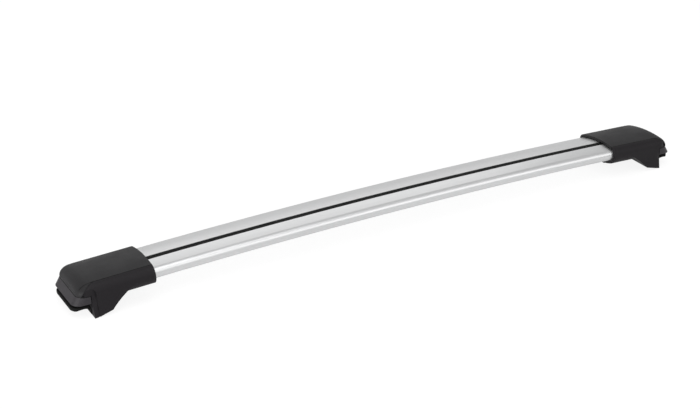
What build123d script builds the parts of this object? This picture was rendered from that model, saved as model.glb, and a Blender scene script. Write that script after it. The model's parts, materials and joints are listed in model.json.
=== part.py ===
"""Roof rack crossbar: an arched aluminium aerofoil bar with a clamping foot at each end.

Frame: millimetres, +X along the bar, +Y towards the rear (thin) edge of the aerofoil, +Z up.
The origin is midway between the feet, on the plane that the two legs stand on.

Each foot is drawn once in its own frame and mirrored for the other end. In that frame x runs
outboard from the mouth, y as above, and z is the height over the top of the slot strip.
"""
from build123d import *
import os
from math import cos, degrees, radians, sin, sqrt

# Bar: arch and section
ARCH_RADIUS = 10200.0
MOUTH_STATION = 380.0
BAR_WIDTH = 80.0
BAR_HEIGHT = 24.0
BAR_CROWN = 0.7
NOSE_Z = -9.3
NOSE_RADIUS = 8.5
REAR_RADIUS = 4.0
REAR_DROP = 0.5
BAR_WALL = 2.0
REAR_WEB_Y = 20.0
WEB = 1.8

# Slots that run the length of the bar, one in the top face and one in the underside
SLOT_Y = -8.0
SLOT_MOUTH = 9.6
SLOT_WIDTH = 20.0
SLOT_DEPTH = 6.0
SLOT_LIP = 2.2
STRIP_GAP = 0.15
STRIP_SINK = 0.3
STRIP_FOOT = 14.0
STRIP_FOOT_HEIGHT = 2.0

# Sleeve of the foot round the bar
SLEEVE_GAP = 0.4
SLEEVE_WALL = 4.2
SLEEVE_DROP = 1.2
ENGAGEMENT = 38.0
PLUG_FLANGE = 2.0
PLUG_DEPTH = 10.0
PLUG_GAP = 0.15
SLIDE_IN = 10.0

# Outline of the foot
FOOT_LENGTH = 107.5
FOOT_CORNER = 16.0
PARTING_Z = -11.0
DOME_LENGTH = 22.5
DOME_X = FOOT_LENGTH - DOME_LENGTH
DOME_LIP = 0.17
DOME_SECTIONS = 6
FLARE = 4.0
FLARE_TOP_Z = -18.0
CLAW_REACH = 17.5
LEG_LENGTH = 25.5
LEG_FACE_X = FOOT_LENGTH - CLAW_REACH
LEG_HEEL_X = LEG_FACE_X - LEG_LENGTH
LEG_HEEL_Z = -37.7
LEG_TIP_Z = -43.2
GUSSET_X = 27.0
GUSSET_RUN = 15.5
GUSSET_MID_X = LEG_HEEL_X - GUSSET_RUN
GUSSET_MID_Z = -24.2
SIDE_WALL = 8.0
CAVITY_GAP = 2.5
SKIN = 2.6
ARCH_LEAD = 4.0
ARCH_CENTRE_X = LEG_FACE_X + ARCH_LEAD
ARCH_CENTRE_Z = -10.0
ARCH_RIM = 10.5
ARCH_STEP = 0.9
BEVEL_Z = -22.0
RECESS = 2.6
BEVEL_TIP_DEPTH = 2.0
LEG_WALL = 4.0
RIB = 2.6
RIB_COUNT = 3
POCKET_TOP_Z = -24.0

# Seam between the cover and the housing
SEAM_GAP = 0.4
SEAM_FRONT_Y = -33.2
SEAM_FRONT_Z = 4.0
SEAM_REAR_Y = 37.0
SEAM_REAR_Z = -4.0
SEAM_DROP_LENGTH = 31.5
SEAM_BEND_LENGTH = 14.5
SEAM_END_LENGTH = 4.5
SEAM_STRAIGHT = FOOT_LENGTH - SEAM_DROP_LENGTH
SEAM_BEND_X = FOOT_LENGTH - SEAM_BEND_LENGTH
SEAM_BEND_SHARE = 0.8
SEAM_END_X = FOOT_LENGTH - SEAM_END_LENGTH
SEAM_END_SLOPE = -2.5
COVER_GAP = 0.8

# Clamp mechanism
SCREW_Z = -8.0
SCREW_D = 6.0
SCREW_LENGTH = 35.0
HEAD_D = 10.0
HEAD_H = 5.0
KEY_AF = 5.0
THREAD_GAP = 0.05
CLEARANCE_HOLE = 6.6
WASHER_D = 12.0
WASHER_T = 1.0
WASHER_GAP = 0.2
LUG_SETBACK = 27.5
NUT_SPACING = 14.0
LUG_X = FOOT_LENGTH - LUG_SETBACK
NUT_X = LUG_X - NUT_SPACING
NUT_D = 10.0
NUT_LENGTH = 27.0
BRACKET_T = 2.5
BRACKET_TOP_Z = -13.5
BRACKET_TAIL = 9.0
BRACKET_X0 = NUT_X - BRACKET_TAIL
BRACKET_X1 = LEG_FACE_X - BRACKET_T
BRACKET_HALF = 28.5
EAR_Y = 11.0
EAR_WALL = 2.0
LUG_T = 3.0
LUG_HALF = 8.0
LUG_WALL = 3.5
FORK_GAP = 1.0
SLIDER_T = 2.6
SLIDER_TAIL = 4.0
SLIDER_TOE = 2.5
SLIDER_X0 = LUG_X - SLIDER_TAIL
SLIDER_X1 = FOOT_LENGTH - SLIDER_TOE
SLIDER_HALF = 20.0
SLIDE_GAP = 0.4
SPRING_WIRE = 1.1
SPRING_COILS = 4.5
SPRING_GAP = 0.2

# Claw
JAW_HALF = 42.0
JAW_CORNER = 14.5
JAW_WALL = 3.0
JAW_GAP = 0.3
JAW_LEG_GAP = 1.0
BAND_REACH = 7.5
ROOT_REACH = 1.0
JAW_X0 = LEG_FACE_X + JAW_LEG_GAP
BAND_TIP_X = FOOT_LENGTH + BAND_REACH
BAND_TIP_Z = -22.5
ROOT_HALF = 36.5
JAW_ROOT_X = FOOT_LENGTH + ROOT_REACH
JAW_BOTTOM_Z = -26.0
JAW_FLOOR_Z = -21.5
JAW_FLOOR_T = 2.5
PAD_BOTTOM_Z = -33.0
PAD_TOP_Z = -27.0
PAD_LIP = 1.0
PAD_SETBACK = 1.5
PAD_TIP_X = BAND_TIP_X + PAD_LIP
PAD_HALF = 37.5
PAD_CORNER = 14.0
PAD_X0 = JAW_X0 + PAD_SETBACK
PAD_ROUND = 2.0
PAD_GAP = 0.15
SEAT_REACH = 12.0
SEAT_X = LEG_FACE_X + SEAT_REACH
SEAT_HALF = 10.0
SEAT_RISE = 3.0
LEG_PAD_T = 2.5
LEG_PAD_PROUD = 1.0
LEG_PAD_Z0 = -41.6
LEG_PAD_Z1 = -33.6
LEG_PAD_HALF = 35.0

# Fasteners
SMALL_D = 4.0
SMALL_HEAD_D = 7.5
SMALL_HEAD_H = 2.4
SMALL_LENGTH = 7.0
SMALL_KEY = 2.5
SMALL_GAP = 0.2
SMALL_TIP_GAP = 0.5
BRACKET_SCREW_Y = 24.0
BRACKET_SCREW_X = (NUT_X - SMALL_D, LUG_X + LUG_T)
CLAW_SCREW_Y = 12.0
CLAW_SCREW_SETBACK = 9.5
CLAW_SCREW_X = FOOT_LENGTH - CLAW_SCREW_SETBACK
TEE_X = (10.0, 23.0)
TEE_LENGTH = 26.0
TEE_HEIGHT = 4.0
TEE_GAP = 0.15
TEE_SIDE_GAP = 0.3
BOSS_DEPTH = 0.6
BOSS_WIDTH = 18.0
BOSS_MARGIN = 8.0
CLAMP_HEAD_D = 11.0
CLAMP_HEAD_H = 2.8
CLAMP_SINK = 2.4
COUNTERBORE_GAP = 0.3

# Cutters: beyond the part, a little past a face, and overlaps that fuse or clear two forms
FAR = 300.0
PAST = 1.0
OVERLAP = 0.5
HEAD_OVERLAP = 0.1
BAND_OVERLAP = 0.01
KEY_PAST = 5.0

# Heights and places that follow from the sizes above
REAR_Y = BAR_WIDTH / 2 - REAR_RADIUS
REAR_Z = NOSE_Z - REAR_DROP
NOSE = Vector(NOSE_RADIUS - BAR_WIDTH / 2, NOSE_Z)
REAR = Vector(REAR_Y, REAR_Z)
BELLY_Z = BAR_CROWN - BAR_HEIGHT
SLEEVE_OUT = SLEEVE_GAP + SLEEVE_WALL
FOOT_HALF = BAR_WIDTH / 2 + SLEEVE_OUT
SLEEVE_BOTTOM_Z = BELLY_Z - SLEEVE_OUT - SLEEVE_DROP
CLAMP_SEAT_Z = SLEEVE_BOTTOM_Z + CLAMP_SINK
FLANK_Z = (NOSE_Z + REAR_Z) / 2
FOOT_STATION = MOUTH_STATION + ENGAGEMENT / 2
FOOT_ANGLE = FOOT_STATION / ARCH_RADIUS
STRIP_Z = (
    ARCH_RADIUS * (1 - cos(FOOT_ANGLE))
    + sin(FOOT_ANGLE) * (LEG_FACE_X - ENGAGEMENT / 2)
    - cos(FOOT_ANGLE) * LEG_TIP_Z
)
BAR_END_STATION = MOUTH_STATION + ENGAGEMENT - PLUG_FLANGE
LOWER_LIP_Z = BELLY_Z + SLOT_LIP
UPPER_FLOOR_Z = -STRIP_SINK - SLOT_LIP - SLOT_DEPTH
BORE_DEPTH = ENGAGEMENT + SLIDE_IN + SLEEVE_GAP
CAVITY_HALF = BRACKET_HALF + CAVITY_GAP
BRACKET_Z0 = BRACKET_TOP_Z - BRACKET_T
SLIDER_TOP_Z = BRACKET_Z0 - SLIDE_GAP
SLIDER_Z0 = SLIDER_TOP_Z - SLIDER_T
HEAD_X = LUG_X + LUG_T + WASHER_T
JAW_TOP_Z = PARTING_Z - JAW_GAP
BAR_ARC_Z = STRIP_Z - ARCH_RADIUS


def block(x0, x1, y0, y1, z0, z1):
    """A box between two corners."""
    return Pos((x0 + x1) / 2, (y0 + y1) / 2, (z0 + z1) / 2) * Box(x1 - x0, y1 - y0, z1 - z0)


def rod_x(radius, x0, x1, y, z):
    """A round bar along x."""
    return Pos((x0 + x1) / 2, y, z) * Rot(0, 90, 0) * Cylinder(radius, x1 - x0)


def rod_y(radius, x, y0, y1, z):
    """A round bar along y."""
    return Pos(x, (y0 + y1) / 2, z) * Rot(90, 0, 0) * Cylinder(radius, y1 - y0)


def rod_z(radius, x, y, z0, z1):
    """A round bar along z."""
    return Pos(x, y, (z0 + z1) / 2) * Cylinder(radius, z1 - z0)


def along_x(sketch, x0, x1):
    """Extrudes a (y, z) sketch from x0 to x1."""
    return Pos(x0, 0, 0) * extrude(Plane.YZ * sketch, x1 - x0)


def along_y(sketch, y0, y1):
    """Extrudes an (x, z) sketch from y0 to y1."""
    return Pos(0, y0, 0) * extrude(Plane.XZ * sketch, y0 - y1)


def along_z(sketch, z0, z1):
    """Extrudes an (x, y) sketch from z0 to z1."""
    return Pos(0, 0, z0) * extrude(sketch, z1 - z0)


def skin_circle(way):
    """Centre (y, z) and radius of the circle that wraps both tip circles, top (1) or belly (-1)."""
    crest = BAR_CROWN if way > 0 else BELLY_Z
    (y1, u1, r1), (y2, u2, r2) = (
        (y, way * (crest - z), r)
        for y, z, r in ((NOSE_RADIUS - BAR_WIDTH / 2, NOSE_Z, NOSE_RADIUS), (REAR_Y, REAR_Z, REAR_RADIUS))
    )
    k1, k2 = u1 - r1, u2 - r2
    a = k2 - k1
    b = k1 * y2 - k2 * y1
    c = k2 * y1**2 - k1 * y2**2 + k1 * k2 * (u1 + r1 - u2 - r2)
    y = (sqrt(b * b - a * c) - b) / a
    radius = ((y - y1) ** 2 / k1 + u1 + r1) / 2
    return Vector(y, crest - way * radius), radius


def skin_arc(way, grow):
    """Three points of the top (1) or belly (-1) arc: where it leaves the nose, its crest, its rear end."""
    centre, radius = skin_circle(way)
    touch = [centre + (tip - centre).normalized() * (radius + grow) for tip in (NOSE, REAR)]
    return touch[0], centre + Vector(0, way * (radius + grow)), touch[1]


def aerofoil(grow=0.0):
    """Section of the bar as a (y, z) sketch of four tangent arcs, grown outwards by a distance."""
    top, belly = skin_arc(1, grow), skin_arc(-1, grow)
    return make_face(
        [
            ThreePointArc(*top),
            ThreePointArc(top[2], REAR + Vector(REAR_RADIUS + grow, 0), belly[2]),
            ThreePointArc(*reversed(belly)),
            ThreePointArc(belly[0], NOSE - Vector(NOSE_RADIUS + grow, 0), top[0]),
        ]
    )


def rounded_end(x0, x1, half, corner):
    """Plan of a block whose outboard corners are rounded, as an (x, y) sketch."""
    plan = Pos((x0 + x1) / 2, 0) * Rectangle(x1 - x0, 2 * half)
    return fillet(plan.vertices().group_by(Axis.X)[-1], corner)


def slot(top):
    """The open channel of the top or bottom slot, as a (y, z) sketch."""
    if top:
        z_face, z_lip, way = FAR, -STRIP_SINK - SLOT_LIP, -1
    else:
        z_face, z_lip, way = -FAR, LOWER_LIP_Z, 1
    mouth = Pos(SLOT_Y, (z_face + z_lip) / 2) * Rectangle(SLOT_MOUTH, abs(z_face - z_lip))
    channel = Pos(SLOT_Y, z_lip + way * SLOT_DEPTH / 2) * Rectangle(SLOT_WIDTH, SLOT_DEPTH)
    return mouth + channel


def bar_section():
    """Hollow extrusion: outer skin, two slots back to back, and webs between the chambers."""
    chambers = aerofoil(-BAR_WALL)
    column_half = SLOT_WIDTH / 2 + WEB
    column = Pos(SLOT_Y, 0) * Rectangle(2 * column_half, 2 * FAR)
    web = Pos(REAR_WEB_Y, 0) * Rectangle(WEB, 2 * FAR)
    hollow = chambers - column - web
    core_low = LOWER_LIP_Z + SLOT_DEPTH + WEB
    core_top = UPPER_FLOOR_Z - WEB
    section = aerofoil() - hollow - slot(True) - slot(False)
    if core_top - core_low > WEB:
        section -= Pos(SLOT_Y, (core_low + core_top) / 2) * Rectangle(SLOT_WIDTH, core_top - core_low)
    return section


def arch_sweep(sketch, station):
    """Sweeps a (y, z) sketch along the bar's arch from one station to its mirror."""
    half = degrees(station / ARCH_RADIUS)
    axis = Axis((0, 0, BAR_ARC_Z), (0, 1, 0))
    face = Pos(0, 0, STRIP_Z) * (Plane.YZ * sketch)
    return revolve(face.rotate(axis, -half), axis, 2 * half)


def strip_section():
    """Rubber infill: a flat top in the slot's mouth over a wider foot that hooks under its lips."""
    half = SLOT_MOUTH / 2 - STRIP_GAP
    foot_top = -STRIP_SINK - SLOT_LIP
    stem = Pos(SLOT_Y, foot_top / 2) * Rectangle(2 * half, -foot_top)
    foot = Pos(SLOT_Y, foot_top - STRIP_FOOT_HEIGHT / 2) * Rectangle(STRIP_FOOT, STRIP_FOOT_HEIGHT)
    return stem + foot


def at_station(shape, station):
    """Moves a piece from a frame standing on the bar's arch at a station to the part's frame."""
    angle = station / ARCH_RADIUS
    rise = ARCH_RADIUS * cos(angle) + BAR_ARC_Z
    return Pos(ARCH_RADIUS * sin(angle), 0, rise) * Rot(0, degrees(angle), 0) * shape


def end_plug():
    """Cap on the bar's end at x 0, with a boss in the nose chamber and two in the rear ones."""
    bosses = aerofoil(-BAR_WALL - PLUG_GAP)
    column = Pos(SLOT_Y, 0) * Rectangle(SLOT_WIDTH + 2 * WEB + 2 * PLUG_GAP, 2 * FAR)
    web = Pos(REAR_WEB_Y, 0) * Rectangle(WEB + 2 * PLUG_GAP, 2 * FAR)
    flange = aerofoil() - slot(True) - slot(False)
    return along_x(flange, 0, PLUG_FLANGE) + along_x(bosses - column - web, -PLUG_DEPTH, PLUG_FLANGE / 2)


def upper_section(inset=0.0):
    """Section of the foot down to the parting line: the grown aerofoil's top over upright flanks.

    An inset one, the room inside, runs on below the parting line by its inset.
    """
    grow = SLEEVE_OUT - inset
    top = skin_arc(1, grow)
    edges = [ThreePointArc(*top)]
    corners = []
    for tip, radius, way, touch in ((NOSE, NOSE_RADIUS, -1, top[0]), (REAR, REAR_RADIUS, 1, top[2])):
        flank = tip + Vector(way * (radius + grow), 0)
        between = ((touch - tip).normalized() + Vector(way, 0)).normalized()
        corners.append(Vector(flank.X, PARTING_Z - inset))
        edges += [ThreePointArc(touch, tip + between * (radius + grow), flank), Line(flank, corners[-1])]
    return make_face(edges + [Line(*corners)])


def lower_section():
    """Section of the foot below the parting line: upright flanks that flare towards the roof rail."""
    half_low = FOOT_HALF + FLARE
    middle_z = (FLARE_TOP_Z + LEG_TIP_Z) / 2
    right = [
        Line((FOOT_HALF, FLANK_Z), (FOOT_HALF, FLARE_TOP_Z)),
        Spline(
            [(FOOT_HALF, FLARE_TOP_Z), (half_low, LEG_TIP_Z)],
            tangents=[(0, -1), (FLARE, LEG_TIP_Z - middle_z)],
        ),
        Line((half_low, LEG_TIP_Z), (0, LEG_TIP_Z)),
        Line((0, LEG_TIP_Z), (0, FLANK_Z)),
        Line((0, FLANK_Z), (FOOT_HALF, FLANK_Z)),
    ]
    half = make_face(right)
    return half + mirror(half, Plane.YZ)


def dome(inset=0.0):
    """Rounded outboard end above the parting line: the section shrinks along a quarter ellipse."""
    radius = FOOT_CORNER - inset
    corner_x = FOOT_LENGTH - FOOT_CORNER
    half = FOOT_HALF - inset
    sections = [Pos(DOME_X, 0, 0) * (Plane.YZ * upper_section(inset))]
    for i in range(DOME_SECTIONS):
        turn = radians(90 * i / (DOME_SECTIONS - 1))
        x = corner_x + radius * sin(turn)
        wide = (FOOT_HALF - FOOT_CORNER + radius * cos(turn)) / half
        reach = (x - DOME_X) / (FOOT_LENGTH - inset - DOME_X)
        high = max(sqrt(max(1 - reach**2, 0)), DOME_LIP)
        section = scale(upper_section(inset), (wide, high, 1))
        sections.append(Pos(x, 0, (PARTING_Z - inset) * (1 - high)) * (Plane.YZ * section))
    return loft(Sketch() + sections)


def foot_crown(x0, inset=0.0):
    """Form of the foot above the parting line, from x0 to its rounded end over the claw."""
    return along_x(upper_section(inset), x0, DOME_X) + dome(inset)


def foot_envelope():
    """Outer form of a foot: the crown and, as far as its corners, the flared flanks."""
    return foot_crown(0) + along_x(lower_section(), 0, FOOT_LENGTH - FOOT_CORNER)


def leg_profile():
    """Side view of everything below the cover: sleeve, gusset and leg, as an (x, z) sketch."""
    top = FAR
    return make_face(
        [
            Line((GUSSET_X, top), (GUSSET_X, NOSE_Z)),
            ThreePointArc((GUSSET_X, NOSE_Z), (GUSSET_MID_X, GUSSET_MID_Z), (LEG_HEEL_X, LEG_HEEL_Z)),
            Line((LEG_HEEL_X, LEG_HEEL_Z), (LEG_FACE_X, LEG_TIP_Z)),
            Line((LEG_FACE_X, LEG_TIP_Z), (LEG_FACE_X, PARTING_Z)),
            Line((LEG_FACE_X, PARTING_Z), (FOOT_LENGTH, PARTING_Z)),
            Line((FOOT_LENGTH, PARTING_Z), (FOOT_LENGTH, top)),
            Line((FOOT_LENGTH, top), (GUSSET_X, top)),
        ]
    )


def seam_curve(z_side):
    """Upper region of one flank: straight along the sleeve, then down to the parting line."""
    z_bend = PARTING_Z + SEAM_BEND_SHARE * (z_side - PARTING_Z)
    return make_face(
        [
            Line((-PAST, FAR), (-PAST, z_side)),
            Line((-PAST, z_side), (SEAM_STRAIGHT, z_side)),
            Spline(
                [(SEAM_STRAIGHT, z_side), (SEAM_BEND_X, z_bend), (SEAM_END_X, PARTING_Z)],
                tangents=[(1, 0), (1, SEAM_END_SLOPE)],
            ),
            Line((SEAM_END_X, PARTING_Z), (FAR, -FAR)),
            Line((FAR, -FAR), (FAR, FAR)),
            Line((FAR, FAR), (-PAST, FAR)),
        ]
    )


def cover_region(bottom, gap=0.0):
    """Space that belongs to the cover down to a height, grown by a gap for cutting the housing."""
    middle = block(-PAST, FAR, SEAM_FRONT_Y - gap, SEAM_REAR_Y + gap, bottom, FAR)
    front = Pos(0, 0, -gap) * along_y(seam_curve(SEAM_FRONT_Z), -FAR, SEAM_FRONT_Y)
    rear = Pos(0, 0, -gap) * along_y(seam_curve(SEAM_REAR_Z), SEAM_REAR_Y, FAR)
    return middle + front + rear


def arch_cut(side):
    """Cutter for the arch in one flank: a stepped rim, a recess and, on the leg, a bevel."""
    plan = rounded_end(0, FOOT_LENGTH - RECESS, FOOT_HALF - RECESS, FOOT_CORNER - RECESS)
    corners = [
        Vector(LEG_FACE_X, side * (FOOT_HALF - RECESS), BEVEL_Z),
        Vector(ARCH_CENTRE_X - ARCH_RIM, side * (FOOT_HALF - ARCH_STEP), BEVEL_Z),
        Vector(LEG_FACE_X, side * (FOOT_HALF + FLARE - BEVEL_TIP_DEPTH), LEG_TIP_Z),
    ]
    normal = (corners[1] - corners[0]).cross(corners[2] - corners[0])
    outward = normal if normal.Y * side > 0 else -normal
    bevel = extrude(Plane(origin=corners[0], z_dir=outward) * Rectangle(FAR, FAR), FAR / 3)
    leg = Pos(0, -side * ARCH_STEP, 0) * along_x(lower_section(), 0, LEG_FACE_X) - bevel
    return along_y(arch_outline(), *sorted((0, side * FAR))) - along_z(plan, -FAR, FAR) - leg


def arch_outline():
    """Arch with an upright inboard side: a half round over a rectangle that runs off below."""
    box = Pos(ARCH_CENTRE_X, ARCH_CENTRE_Z - FAR / 2) * Rectangle(2 * ARCH_RIM, FAR)
    return box + Pos(ARCH_CENTRE_X, ARCH_CENTRE_Z) * Circle(ARCH_RIM)


def foot_cover():
    """Lid over the sleeve and the clamp: a thick roof over the bar, a shell beyond it."""
    solid = foot_crown(0) & cover_region(-FAR)
    over_bar = along_x(aerofoil(COVER_GAP), -PAST, BORE_DEPTH)
    return solid - over_bar - foot_crown(BORE_DEPTH - SEAM_GAP, SKIN)


def foot_housing(envelope):
    """Moulded body: sleeve round the bar, gusset, ribbed leg, arched flanks and the clamp's trough."""
    flanks = Pos(0, FLANK_Z - SLEEVE_DROP / 2) * Rectangle(2 * FOOT_HALF, SLEEVE_DROP)
    sleeve_section = aerofoil(SLEEVE_OUT) + Pos(0, -SLEEVE_DROP) * aerofoil(SLEEVE_OUT) + flanks
    sleeve = along_x(sleeve_section, 0, BORE_DEPTH + SLEEVE_WALL)
    boss = block(
        TEE_X[0] - BOSS_MARGIN,
        TEE_X[1] + BOSS_MARGIN,
        SLOT_Y - BOSS_WIDTH / 2,
        SLOT_Y + BOSS_WIDTH / 2,
        SLEEVE_BOTTOM_Z - BOSS_DEPTH,
        BELLY_Z,
    )
    body = (envelope & along_y(leg_profile(), -FAR, FAR)) + (sleeve & envelope) + boss
    body -= cover_region(PARTING_Z - SEAM_GAP, SEAM_GAP)
    body -= along_x(aerofoil(SLEEVE_GAP), -PAST, BORE_DEPTH)
    body -= block(BORE_DEPTH - OVERLAP, LEG_FACE_X, -CAVITY_HALF, CAVITY_HALF, BRACKET_Z0, FAR)
    body -= block(LEG_FACE_X - OVERLAP, FAR, -CAVITY_HALF, CAVITY_HALF, -FAR, FAR)
    way = SLIDER_HALF + SLIDE_GAP
    body -= block(SLIDER_X0 - SLIDE_GAP, LEG_FACE_X + PAST, -way, way, SLIDER_Z0 - SLIDE_GAP, FAR)
    for side in (-1, 1):
        body -= arch_cut(side)
    body -= leg_pad(0.0)
    for x in TEE_X:
        body -= rod_z(CLEARANCE_HOLE / 2, x, SLOT_Y, -FAR, BELLY_Z + PAST)
        body -= rod_z(CLAMP_HEAD_D / 2 + COUNTERBORE_GAP, x, SLOT_Y, -FAR, CLAMP_SEAT_Z)
    for x, y in bracket_holes():
        body -= rod_z(SMALL_D / 2, x, y, BRACKET_Z0 - SMALL_LENGTH, FAR)
    return body - leg_pockets()


def leg_pockets():
    """Pockets between ribs, open through the leg's underside."""
    half = FOOT_HALF - SIDE_WALL
    pitch = (2 * half + RIB) / (RIB_COUNT + 1)
    x0, x1 = LEG_HEEL_X + LEG_WALL, LEG_FACE_X - LEG_WALL
    return [
        block(x0, x1, y, y + pitch - RIB, -FAR, POCKET_TOP_Z)
        for y in (-half + i * pitch for i in range(RIB_COUNT + 1))
    ]


def leg_pad(gap):
    """Rubber pad let into the leg's outboard face."""
    return block(
        LEG_FACE_X + LEG_PAD_PROUD - LEG_PAD_T - gap,
        LEG_FACE_X + LEG_PAD_PROUD,
        -LEG_PAD_HALF - gap,
        LEG_PAD_HALF + gap,
        LEG_PAD_Z0 - gap,
        LEG_PAD_Z1 + gap,
    )


def claw_jaw():
    """Moulded jaw: flared outboard band, recessed cheeks, floor and screw bosses."""
    band = jaw_loft(0.0)
    root_plan = rounded_end(JAW_X0, JAW_ROOT_X, ROOT_HALF, JAW_CORNER)
    root = along_z(root_plan, JAW_BOTTOM_Z, BAND_TIP_Z + BAND_OVERLAP)
    room = along_z(
        rounded_end(JAW_X0 - PAST, JAW_ROOT_X - JAW_WALL, ROOT_HALF - JAW_WALL, JAW_CORNER - JAW_WALL),
        JAW_BOTTOM_Z - PAST,
        JAW_FLOOR_Z - JAW_FLOOR_T,
    )
    jaw = band + root - jaw_loft(JAW_WALL) - room
    for y in (-CLAW_SCREW_Y, CLAW_SCREW_Y):
        jaw += rod_z(SMALL_HEAD_D / 2, CLAW_SCREW_X, y, JAW_FLOOR_Z - OVERLAP, SLIDER_Z0)
        jaw -= rod_z(SMALL_D / 2, CLAW_SCREW_X, y, SLIDER_TOP_Z - SMALL_LENGTH, FAR)
    return jaw


def jaw_loft(inset):
    """The flared band as a loft between two plans; inset gives the room inside it."""
    z_low = JAW_FLOOR_Z if inset else BAND_TIP_Z
    reach = (BAND_TIP_X - FOOT_LENGTH) / (JAW_TOP_Z - BAND_TIP_Z)
    z_high = JAW_TOP_Z + (OVERLAP if inset else 0)
    plans = []
    for z in (z_low, z_high):
        x_tip = FOOT_LENGTH + reach * (JAW_TOP_Z - z) - inset
        plan = rounded_end(JAW_X0 - (PAST if inset else 0), x_tip, JAW_HALF - inset, JAW_CORNER - inset)
        plans.append(Pos(0, 0, z) * plan)
    return loft(Sketch() + plans)


def claw_pad():
    """Rubber boot under the jaw: a lip round its edge and a hollow underside that seats on the rail."""
    lip = along_z(rounded_end(PAD_X0, PAD_TIP_X, PAD_HALF, PAD_CORNER), PAD_BOTTOM_Z, PAD_TOP_Z)
    lip = fillet(lip.faces().sort_by(Axis.X)[-1].edges().filter_by(Axis.Y), PAD_ROUND)
    neck_x = JAW_ROOT_X - JAW_WALL - PAD_GAP
    neck = along_z(
        rounded_end(PAD_X0, neck_x, ROOT_HALF - JAW_WALL - PAD_GAP, JAW_CORNER - JAW_WALL),
        PAD_TOP_Z - OVERLAP,
        JAW_FLOOR_Z - JAW_FLOOR_T,
    )
    crown_r = (SEAT_HALF**2 + SEAT_RISE**2) / (2 * SEAT_RISE)
    crown = rod_y(crown_r, SEAT_X, -FAR, FAR, PAD_BOTTOM_Z + SEAT_RISE - crown_r)
    return lip + neck - crown


def clamp_bracket():
    """Pressed steel base that forks round the lug, with two ears for the barrel nut."""
    base = block(BRACKET_X0, BRACKET_X1, -BRACKET_HALF, BRACKET_HALF, BRACKET_Z0, BRACKET_TOP_Z)
    base -= block(LUG_X - SLIDE_GAP, FAR, -LUG_HALF - FORK_GAP, LUG_HALF + FORK_GAP, -FAR, FAR)
    ear_r = NUT_D / 2 + EAR_WALL
    for side in (-1, 1):
        y0, y1 = sorted((side * EAR_Y, side * (EAR_Y + BRACKET_T)))
        stem = block(NUT_X - ear_r, NUT_X + ear_r, y0, y1, BRACKET_Z0, SCREW_Z)
        base += stem + rod_y(ear_r, NUT_X, y0, y1, SCREW_Z)
    base -= rod_y(NUT_D / 2 + THREAD_GAP, NUT_X, -FAR, FAR, SCREW_Z)
    for x, y in bracket_holes():
        base -= rod_z(SMALL_D / 2 + SMALL_GAP, x, y, -FAR, FAR)
    return base


def hexagon(across_flats, depth):
    """Cutter for a hexagon socket, standing on the xy plane."""
    return extrude(RegularPolygon(across_flats / 2, 6, major_radius=False), depth)


def small_screw(x, y, z):
    """Small cap screw driven downwards, its head seated at height z."""
    screw = rod_z(SMALL_D / 2 - THREAD_GAP, x, y, z - SMALL_LENGTH + SMALL_TIP_GAP, z + HEAD_OVERLAP)
    head = rod_z(SMALL_HEAD_D / 2, x, y, z, z + SMALL_HEAD_H)
    key = Pos(x, y, z + SMALL_HEAD_H / 2) * hexagon(SMALL_KEY, KEY_PAST)
    return screw + head - key


def bracket_holes():
    """Plan positions of the bracket's screws."""
    return [(x, side * BRACKET_SCREW_Y) for x in BRACKET_SCREW_X for side in (-1, 1)]


def bracket_screws():
    """Four screws that hold the bracket to the housing."""
    return Compound([small_screw(x, y, BRACKET_TOP_Z) for x, y in bracket_holes()])


def barrel_nut():
    """Cross nut in the bracket's ears, drilled for the tension screw."""
    nut = rod_y(NUT_D / 2, NUT_X, -NUT_LENGTH / 2, NUT_LENGTH / 2, SCREW_Z)
    return nut - rod_x(SCREW_D / 2 + THREAD_GAP, -FAR, FAR, 0, SCREW_Z)


def claw_spring():
    """Compressed coil between the barrel nut and the lug."""
    x0 = NUT_X + NUT_D / 2 + SPRING_WIRE / 2
    x1 = LUG_X - SPRING_WIRE / 2 - SPRING_GAP
    radius = SCREW_D / 2 + SPRING_WIRE
    path = Helix((x1 - x0) / SPRING_COILS, x1 - x0, radius)
    wire = Plane(origin=path @ 0, z_dir=path % 0) * Circle(SPRING_WIRE / 2)
    return Pos(x0, 0, SCREW_Z) * Rot(0, 90, 0) * sweep(wire, path)


def claw_slider():
    """Steel tongue of the claw with a lug that the tension screw pulls."""
    plate = block(SLIDER_X0, SLIDER_X1, -SLIDER_HALF, SLIDER_HALF, SLIDER_Z0, SLIDER_TOP_Z)
    lug_r = SCREW_D / 2 + LUG_WALL
    lug = block(LUG_X, LUG_X + LUG_T, -LUG_HALF, LUG_HALF, SLIDER_Z0, SCREW_Z) + rod_x(
        lug_r, LUG_X, LUG_X + LUG_T, 0, SCREW_Z
    )
    slider = plate + lug - rod_x(CLEARANCE_HOLE / 2, LUG_X - PAST, LUG_X + LUG_T + PAST, 0, SCREW_Z)
    for side in (-1, 1):
        slider -= rod_z(SMALL_D / 2 + SMALL_GAP, CLAW_SCREW_X, side * CLAW_SCREW_Y, -FAR, FAR)
    return slider


def claw_screws():
    """Two screws that hold the slider to the jaw."""
    return Compound([small_screw(CLAW_SCREW_X, s * CLAW_SCREW_Y, SLIDER_TOP_Z) for s in (-1, 1)])


def screw_washer():
    """Washer between the lug and the screw's head."""
    ring = rod_x(WASHER_D / 2, LUG_X + LUG_T, HEAD_X, 0, SCREW_Z)
    return ring - rod_x(SCREW_D / 2 + WASHER_GAP, -FAR, FAR, 0, SCREW_Z)


def tension_screw():
    """Socket-head screw along x with a hexagon socket facing outboard."""
    shank = rod_x(SCREW_D / 2, HEAD_X - SCREW_LENGTH, HEAD_X + HEAD_OVERLAP, 0, SCREW_Z)
    head = rod_x(HEAD_D / 2, HEAD_X, HEAD_X + HEAD_H, 0, SCREW_Z)
    key = Plane.YZ * hexagon(KEY_AF, HEAD_H)
    return shank + head - Pos(HEAD_X + HEAD_H / 2, 0, SCREW_Z) * key


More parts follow.
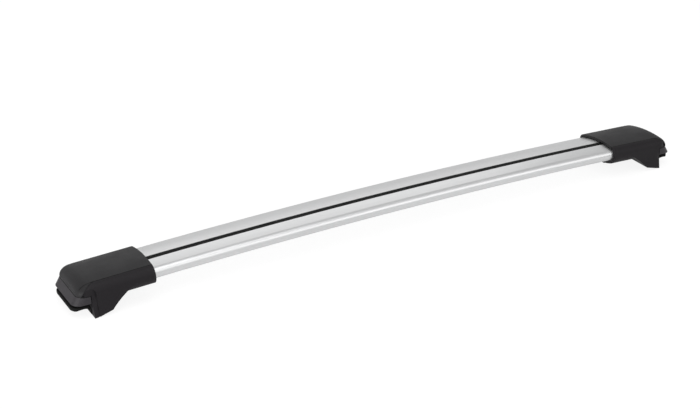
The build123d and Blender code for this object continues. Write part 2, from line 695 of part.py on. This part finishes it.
def bar_tee_nut():
    """Plate nut that hooks under the lips of the bar's lower slot."""
    z0 = LOWER_LIP_Z + TEE_GAP
    mid = (TEE_X[0] + TEE_X[1]) / 2
    half = SLOT_WIDTH / 2 - TEE_SIDE_GAP
    x0, x1 = mid - TEE_LENGTH / 2, mid + TEE_LENGTH / 2
    plate = block(x0, x1, SLOT_Y - half, SLOT_Y + half, z0, z0 + TEE_HEIGHT)
    for x in TEE_X:
        plate -= rod_z(SCREW_D / 2 + THREAD_GAP, x, SLOT_Y, -FAR, FAR)
    return plate


def bar_clamp_screws():
    """Two low-head screws up through the sleeve into the plate nut."""
    screws = []
    for x in TEE_X:
        top = LOWER_LIP_Z + TEE_GAP + TEE_HEIGHT
        shank = rod_z(SCREW_D / 2, x, SLOT_Y, CLAMP_SEAT_Z - HEAD_OVERLAP, top)
        head = rod_z(CLAMP_HEAD_D / 2, x, SLOT_Y, CLAMP_SEAT_Z - CLAMP_HEAD_H, CLAMP_SEAT_Z)
        key = hexagon(KEY_AF, CLAMP_HEAD_H / 2 + KEY_PAST)
        screws.append(shank + head - Pos(x, SLOT_Y, CLAMP_SEAT_Z - CLAMP_HEAD_H / 2 - KEY_PAST) * key)
    return Compound(screws)


def foot_pieces():
    """Every piece of the right-hand foot, in the foot's frame."""
    envelope = foot_envelope()
    return {
        "foot_housing": foot_housing(envelope),
        "foot_cover": foot_cover(),
        "leg_pad": leg_pad(0.0),
        "clamp_bracket": clamp_bracket(),
        "bracket_screws": bracket_screws(),
        "barrel_nut": barrel_nut(),
        "claw_spring": claw_spring(),
        "bar_tee_nut": bar_tee_nut(),
        "bar_clamp_screws": bar_clamp_screws(),
        "claw_jaw": claw_jaw(),
        "claw_pad": claw_pad(),
        "claw_slider": claw_slider(),
        "claw_screws": claw_screws(),
        "screw_washer": screw_washer(),
        "tension_screw": tension_screw(),
    }


def pieces():
    """Every node of the crossbar, in the part's frame."""
    nodes = {
        "bar_extrusion": arch_sweep(bar_section(), BAR_END_STATION),
        "slot_strip": arch_sweep(strip_section(), BAR_END_STATION),
    }
    right_hand = {name: at_station(Pos(-ENGAGEMENT / 2, 0, 0) * shape, FOOT_STATION)
                  for name, shape in foot_pieces().items()}
    right_hand["bar_end_plug"] = at_station(end_plug(), BAR_END_STATION)
    for name, right in right_hand.items():
        nodes["right_" + name] = right
        nodes["left_" + name] = mirror(right, Plane.YZ)
    return nodes


if __name__ == "__main__":
    os.makedirs("parts", exist_ok=True)
    for node, solid in pieces().items():
        export_step(solid, f"parts/{node}.step")
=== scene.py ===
"""Looks of the roof rack crossbar: aluminium, grained plastic, rubber and zinc, in a pale studio."""

import json
import math

import bpy
import numpy as np
from mathutils import Matrix, Vector


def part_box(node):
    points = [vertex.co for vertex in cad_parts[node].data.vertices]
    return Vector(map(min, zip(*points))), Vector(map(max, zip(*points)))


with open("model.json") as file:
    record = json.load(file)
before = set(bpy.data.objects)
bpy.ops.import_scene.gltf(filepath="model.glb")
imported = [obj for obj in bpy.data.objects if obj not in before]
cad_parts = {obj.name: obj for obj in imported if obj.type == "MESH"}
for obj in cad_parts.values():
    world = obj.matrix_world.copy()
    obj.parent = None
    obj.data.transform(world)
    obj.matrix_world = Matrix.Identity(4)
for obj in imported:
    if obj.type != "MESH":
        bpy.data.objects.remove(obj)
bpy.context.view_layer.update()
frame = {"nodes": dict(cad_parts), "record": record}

# Camera, fitted to the outlines of the bar and feet
IMAGE_W = 700
FOCAL_PX = 1504.7
SENSOR_MM = 36.0
CAMERA_AT = (-0.9993, -1.6916, 0.98575)
YAW = math.radians(29.0)
PITCH = math.radians(25.93)
ROLL = math.radians(-0.53)
HALF_PIXEL = 0.5 / IMAGE_W
FAR_CLIP = 100.0

# Strength of the sky as a fill, in reflections and as seen by the camera
SKY_FILL = 0.42
SKY_GLOSS = 0.72
SKY_SEEN = 1.0

# Floor: half its side, its grey, its glow, and the share of the glow that is seen and reflected
FLOOR_HALF = 6.0
FLOOR_GREY = 0.86
FLOOR_GLOW = 1.17
GLOW_SEEN = 0.75
GLOW_GLOSS = 0.38

# Lamps: place, point aimed at, width and height, power in watts
LAMPS = {
    "key": ((-0.5, -0.6, 2.4), (0.0, 0.0, 0.0), (2.6, 1.6), 20.0),
    "rim": ((0.6, 2.0, 1.4), (0.0, 0.0, 0.05), (2.4, 1.0), 5.0),
    "front": ((-1.6, -2.2, 0.9), (-0.1, 0.0, 0.05), (1.6, 1.0), 9.0),
    "front_right": ((1.3, -2.3, 1.5), (0.1, 0.0, 0.05), (3.0, 1.8), 16.0),
    "end": ((-2.4, -0.3, 0.35), (-0.45, 0.0, 0.03), (1.2, 0.6), 16.0),
}

# Noise lies mostly within this band, so a finish spreads its roughness over it
NOISE_LOW = 0.3
NOISE_HIGH = 0.7

# Stretch factors of noise: none, drawn out along the bar, and scratched from front to back
EVEN = (1.0, 1.0, 1.0)
DRAWN = (0.01, 1.0, 1.0)
FINELY_DRAWN = (0.006, 1.0, 1.0)
SCRATCHED = (1.0, 0.06, 1.0)

# How blue each family of greys is
ALUMINIUM_TINT = 0.005
PLASTIC_TINT = 0.015
ZINC_TINT = 0.02
WIRE_TINT = 0.01

# Painted shade: a near-black line where shade falls in the gap where the cover meets the housing along the
# sleeve's front, drawn above a given height
JOINT_Y = -0.0334
JOINT_HALF = 0.0004
JOINT_FLOOR = 0.040
# Near-black of the painted shade lines, this one and the one under the claw's rim
SHADE_LINE_GREY = 0.001

# Painted shade: a line under the cover's end where shade falls in the step along the claw's rim, which
# slopes outwards with the bar's arch
FOOT_SLOPE = math.tan(math.radians(2.241))
CLAW_LOW, CLAW_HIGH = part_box("right_claw_jaw")
RIM_HEIGHT = CLAW_HIGH.z + FOOT_SLOPE * CLAW_LOW.x
RIM_DEPTH = 0.0005
RIM_HALF = 0.00038


class Wire:
    """A shader socket that adds Math nodes when it is used in an expression."""

    def __init__(self, tree, socket):
        self.tree = tree
        self.socket = socket

    def _math(self, operation, *values):
        return self.tree.node("ShaderNodeMath", {"operation": operation}, dict(enumerate(values)))

    def __add__(self, other):
        return self._math("ADD", self, other)

    def __sub__(self, other):
        return self._math("SUBTRACT", self, other)

    def __rsub__(self, other):
        return self._math("SUBTRACT", other, self)

    def __mul__(self, other):
        return self._math("MULTIPLY", self, other)

    def __gt__(self, other):
        return self._math("GREATER_THAN", self, other)

    def __abs__(self):
        return self._math("ABSOLUTE", self)

    __radd__ = __add__
    __rmul__ = __mul__

    def ramp(self, low, high, start, end):
        """Smooth step from start to end as this value goes from low to high."""
        sockets = {"Value": self, "From Min": low, "From Max": high, "To Min": start, "To Max": end}
        return self.tree.node("ShaderNodeMapRange", {"interpolation_type": "SMOOTHSTEP"}, sockets)

    def spread(self, start, end):
        """Noise turned into a value between start and end."""
        return self.ramp(NOISE_LOW, NOISE_HIGH, start, end)

    def choose(self, off, on):
        """One value where this flag is 0, another where it is 1."""
        return self.tree.node("ShaderNodeMapRange", inputs={"Value": self, "To Min": off, "To Max": on})


class Tree:
    """The node tree of a new material or world."""

    def __init__(self, owner):
        owner.use_nodes = True
        self.owner = owner
        self.nodes = owner.node_tree.nodes
        self.links = owner.node_tree.links
        self.nodes.clear()

    def node(self, kind, settings=None, inputs=None, output=0):
        """Adds a node, sets its settings, then the values or links of its sockets, and gives one output."""
        made = self.nodes.new(kind)
        for key, value in (settings or {}).items():
            setattr(made, key, value)
        for key, value in (inputs or {}).items():
            socket = made.inputs[key]
            if isinstance(value, Wire):
                self.links.new(value.socket, socket)
            else:
                socket.default_value = value
        return Wire(self, made.outputs[output]) if made.outputs else None

    def ray(self, kind):
        """Flag that is 1 for one kind of ray: Camera, Glossy or Transmission."""
        return self.node("ShaderNodeLightPath", output=f"Is {kind} Ray")

    def place(self):
        """Object coordinates."""
        return self.node("ShaderNodeTexCoord", output="Object")

    def axis(self, name):
        """One of the object coordinates: X, Y or Z."""
        return self.node("ShaderNodeSeparateXYZ", inputs={"Vector": self.place()}, output=name)

    def noise(self, scale, detail, roughness=0.55, stretch=EVEN):
        """Noise from 0 to 1; scale is in cells per metre."""
        place = self.node("ShaderNodeMapping", inputs={"Vector": self.place(), "Scale": stretch})
        sockets = {"Vector": place, "Scale": scale, "Detail": detail, "Roughness": roughness}
        return self.node("ShaderNodeTexNoise", inputs=sockets)

    def cells(self, scale):
        """Distance to the nearest cell's middle; scale is in cells per metre."""
        return self.node("ShaderNodeTexVoronoi", inputs={"Vector": self.place(), "Scale": scale})

    def blend(self, mask, low, high):
        """Colour that goes from low to high with a mask."""
        # A Mix node's colours are its inputs 6 and 7 and its output 2
        return self.node("ShaderNodeMix", {"data_type": "RGBA"}, {0: mask, 6: low, 7: high}, output=2)

    def bump(self, height, distance, strength):
        """Normal that is tilted by a height from 0 to 1, where 1 stands for the distance in metres."""
        sockets = {"Height": height, "Distance": distance, "Strength": strength}
        return self.node("ShaderNodeBump", inputs=sockets)

    def principled(self, **inputs):
        """Ends a material in a Principled surface and gives it; names use underscores for spaces."""
        sockets = {key.replace("_", " "): value for key, value in inputs.items()}
        shader = self.node("ShaderNodeBsdfPrincipled", inputs=sockets)
        self.node("ShaderNodeOutputMaterial", inputs={"Surface": shader})
        return self.owner


def finish(name):
    """The node tree of a new material."""
    return Tree(bpy.data.materials.new(name))


def grey(value, tint=0.0, violet=0.0):
    """A near-neutral linear colour: a positive tint makes it bluer, a positive violet less green."""
    return (value * (1 - tint + violet), value, value * (1 + tint + violet), 1.0)


def weighted(first, second, share):
    """Mean of two values, in which the first has the given share."""
    return first * share + second * (1 - share)


def brushed_aluminium():
    """Satin anodised aluminium: fine and broad lengthwise drawing lines with faint cloudiness."""
    f = finish("brushed_anodised_aluminium")
    fine = f.noise(scale=2600.0, detail=2.0, roughness=0.5, stretch=FINELY_DRAWN)
    broad = f.noise(scale=420.0, detail=3.0, roughness=0.6, stretch=DRAWN)
    cloud = f.noise(scale=9.0, detail=2.0, roughness=0.5)
    lines = weighted(fine, broad, 0.6)
    tone = weighted(lines, cloud, 0.8)
    return f.principled(
        Base_Color=f.blend(tone, grey(0.68, ALUMINIUM_TINT), grey(0.80, ALUMINIUM_TINT)),
        Metallic=1.0,
        Roughness=lines.spread(0.30, 0.44),
        Normal=f.bump(lines, distance=0.00003, strength=0.5),
    )


def lid_joint_shade(f):
    """Mask of the painted shade line in the gap where the cover meets the housing along the sleeve."""
    line = abs(f.axis("Y") - JOINT_Y).ramp(JOINT_HALF, 2 * JOINT_HALF, 1.0, 0.0)
    return line * (f.axis("Z") > JOINT_FLOOR)


def claw_rim_shade(f):
    """Mask of the painted shade line just under the claw's rim: height over the rim's sloping plane."""
    below = f.axis("Z") + abs(f.axis("X")) * FOOT_SLOPE - (RIM_HEIGHT - RIM_DEPTH)
    return abs(below).ramp(RIM_HALF, RIM_DEPTH, 1.0, 0.0)


def grained_plastic(name, tones, roughness, violet=0.0, shade_mask=None):
    """Injection-moulded plastic: fine spark-eroded grain, faint mottling and an optional painted shade line
    in a gap between parts.
    """
    f = finish(name)
    grain = f.cells(scale=1500.0)
    fine = f.noise(scale=3800.0, detail=2.0)
    cloud = f.noise(scale=26.0, detail=4.0, roughness=0.6)
    dark, light = (grey(tone, PLASTIC_TINT, violet) for tone in tones)
    colour = f.blend(weighted(cloud, fine, 0.7), dark, light)
    # Painted shade: a near-black line where shade falls in a gap between parts
    if shade_mask:
        colour = f.blend(shade_mask(f), colour, grey(SHADE_LINE_GREY))
    return f.principled(
        Base_Color=colour,
        Roughness=cloud.spread(*roughness),
        Specular_IOR_Level=0.2,
        Normal=f.bump(weighted(grain, fine, 0.6), distance=0.00006, strength=0.45),
    )


def rubber(name, tones, lines=False):
    """Matt rubber with a powdery bloom; a strip also has faint lengthwise extrusion lines."""
    f = finish(name)
    bloom = f.noise(scale=90.0, detail=4.0, roughness=0.65)
    pits = f.noise(scale=2400.0, detail=2.0)
    drawn = f.noise(scale=1500.0, detail=1.0, roughness=0.5, stretch=DRAWN) if lines else pits
    return f.principled(
        Base_Color=f.blend(bloom, *(grey(tone) for tone in tones)),
        Roughness=bloom.spread(0.62, 0.78),
        Specular_IOR_Level=0.12,
        Normal=f.bump(weighted(pits, drawn, 0.5), distance=0.00005, strength=0.4),
    )


def zinc():
    """Zinc-plated steel: crystalline patches of tone, and light scratches that vary the gloss."""
    f = finish("zinc_plated_steel")
    spangle = f.cells(scale=420.0)
    scratch = f.noise(scale=1600.0, detail=3.0, roughness=0.6, stretch=SCRATCHED)
    return f.principled(
        Base_Color=f.blend(spangle, grey(0.46, ZINC_TINT), grey(0.60, ZINC_TINT)),
        Metallic=1.0,
        Roughness=scratch.spread(0.24, 0.42),
        Normal=f.bump(scratch, distance=0.00003, strength=0.5),
    )


def spring_wire():
    """Bright drawn wire with an uneven polish."""
    f = finish("drawn_spring_wire")
    polish = f.noise(scale=900.0, detail=2.0)
    return f.principled(
        Base_Color=f.blend(polish, grey(0.38, WIRE_TINT), grey(0.52, WIRE_TINT)),
        Metallic=1.0,
        Roughness=polish.spread(0.18, 0.34),
    )


# Each plastic's darkest and lightest tone, smoothest and roughest finish, and lean to violet
FINISHES = {
    "anodised_aluminium": brushed_aluminium(),
    "strip_rubber": rubber("strip_rubber_black", (0.004, 0.008), lines=True),
    # The cover and the foot get a painted shade line along the gap between them
    "cover_plastic": grained_plastic("cover_plastic_satin", (0.019, 0.026), (0.45, 0.56), 0.05, lid_joint_shade),
    "foot_plastic": grained_plastic("foot_plastic_satin", (0.010, 0.015), (0.47, 0.58), 0.16, lid_joint_shade),
    # Painted light: the claw's tones are lightened to stand in for the light its outward-facing flared band
    # catches; it also gets the painted shade line under its rim
    "claw_plastic": grained_plastic("claw_plastic_satin_painted_light", (0.034, 0.046), (0.41, 0.52), 0.10, claw_rim_shade),
    "plug_plastic": grained_plastic("plug_plastic_matt", (0.020, 0.028), (0.55, 0.66)),
    "pad_rubber": rubber("pad_rubber_black", (0.006, 0.011)),
    "zinc_steel": zinc(),
    "spring_steel": spring_wire(),
}

for part in frame["record"]["subparts"]:
    mesh = frame["nodes"][part["node"]].data
    mesh.materials.clear()
    mesh.materials.append(FINISHES[part["material_slot"]])


def floor():
    """Pale studio floor that glows to white for the camera and keeps the soft shadow."""
    f = finish("studio_floor")
    seen = (f.ray("Camera") + f.ray("Transmission")) * GLOW_SEEN + f.ray("Glossy") * GLOW_GLOSS
    matt = f.node("ShaderNodeBsdfDiffuse", inputs={"Color": grey(FLOOR_GREY)})
    glow = f.node("ShaderNodeEmission", inputs={"Strength": FLOOR_GLOW})
    mixed = f.node("ShaderNodeMixShader", inputs={0: seen, 1: matt, 2: glow})
    f.node("ShaderNodeOutputMaterial", inputs={"Surface": mixed})
    square = np.array([(-1, -1, 0), (1, -1, 0), (1, 1, 0), (-1, 1, 0)]) * FLOOR_HALF
    mesh = bpy.data.meshes.new("studio_floor")
    mesh.from_pydata(square.tolist(), [], [(0, 1, 2, 3)])
    mesh.materials.append(f.owner)
    made = bpy.data.objects.new("studio_floor", mesh)
    bpy.context.scene.collection.objects.link(made)


def sky():
    """Pale grey to the camera, a little dimmer in reflections and an even fill for everything else."""
    w = Tree(bpy.data.worlds.new("studio"))
    strength = w.ray("Glossy").choose(SKY_FILL, SKY_GLOSS)
    strength = w.ray("Transmission").choose(strength, SKY_SEEN)
    strength = w.ray("Camera").choose(strength, SKY_SEEN)
    light = w.node("ShaderNodeBackground", inputs={"Strength": strength})
    w.node("ShaderNodeOutputWorld", inputs={"Surface": light})
    bpy.context.scene.world = w.owner


def softbox(name, at, look_at, size, power):
    """A rectangular area lamp aimed at a point."""
    lamp = bpy.data.lights.new(name, "AREA")
    lamp.shape = "RECTANGLE"
    lamp.size, lamp.size_y = size
    lamp.energy = power
    made = bpy.data.objects.new(name, lamp)
    made.location = at
    made.rotation_euler = (Vector(look_at) - Vector(at)).to_track_quat("-Z", "Y").to_euler()
    bpy.context.scene.collection.objects.link(made)


def camera():
    """Camera at the photograph's place: yaw from +Y towards +X, pitch down, then a slight roll."""
    forward = Vector((math.sin(YAW) * math.cos(PITCH), math.cos(YAW) * math.cos(PITCH), -math.sin(PITCH)))
    side = Vector((math.cos(YAW), -math.sin(YAW), 0.0))
    top = side.cross(forward)
    right = side * math.cos(ROLL) + top * math.sin(ROLL)
    up = top * math.cos(ROLL) - side * math.sin(ROLL)
    turn = Matrix((right, up, -forward)).transposed().to_4x4()
    lens = bpy.data.cameras.new("photo_view")
    lens.sensor_width = SENSOR_MM
    lens.lens = SENSOR_MM * FOCAL_PX / IMAGE_W
    lens.clip_end = FAR_CLIP
    lens.shift_x = -HALF_PIXEL
    lens.shift_y = HALF_PIXEL
    made = bpy.data.objects.new("photo_view", lens)
    made.matrix_world = Matrix.Translation(CAMERA_AT) @ turn
    bpy.context.scene.collection.objects.link(made)
    bpy.context.scene.camera = made


floor()
sky()
for lamp_name, placing in LAMPS.items():
    softbox(lamp_name, *placing)
camera()
bpy.context.scene.view_settings.view_transform = "Standard"
